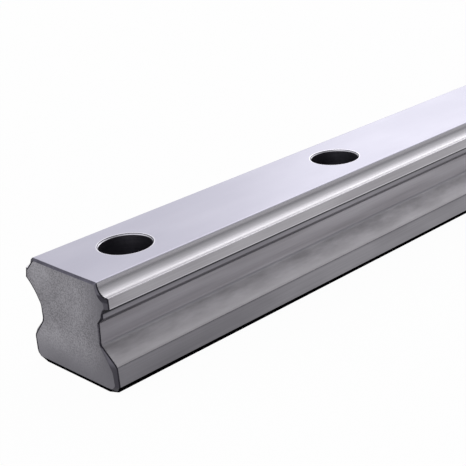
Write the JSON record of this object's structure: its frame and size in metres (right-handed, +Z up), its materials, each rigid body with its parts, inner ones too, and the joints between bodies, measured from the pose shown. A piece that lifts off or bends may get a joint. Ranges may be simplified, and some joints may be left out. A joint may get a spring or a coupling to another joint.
{
  "type": "linear guide rail",
  "caption": "Profile rail of a linear guide: a ground steel bar with ball raceways on both sides of its head, a waisted web, a flared foot and counterbored bolt holes.",
  "frame": {"origin": "middle of the rail's underside, halfway along its length", "axes": "+Y along the rail, X across it, +Z up from the foot to the top face"},
  "size_m": [0.034, 0.44, 0.029],
  "materials": {
    "ground_steel": "ground hardened steel, fine lengthwise grinding lines"
  },
  "bodies": {
    "root": {"rail": "ground_steel"}
  },
  "joints": []
}
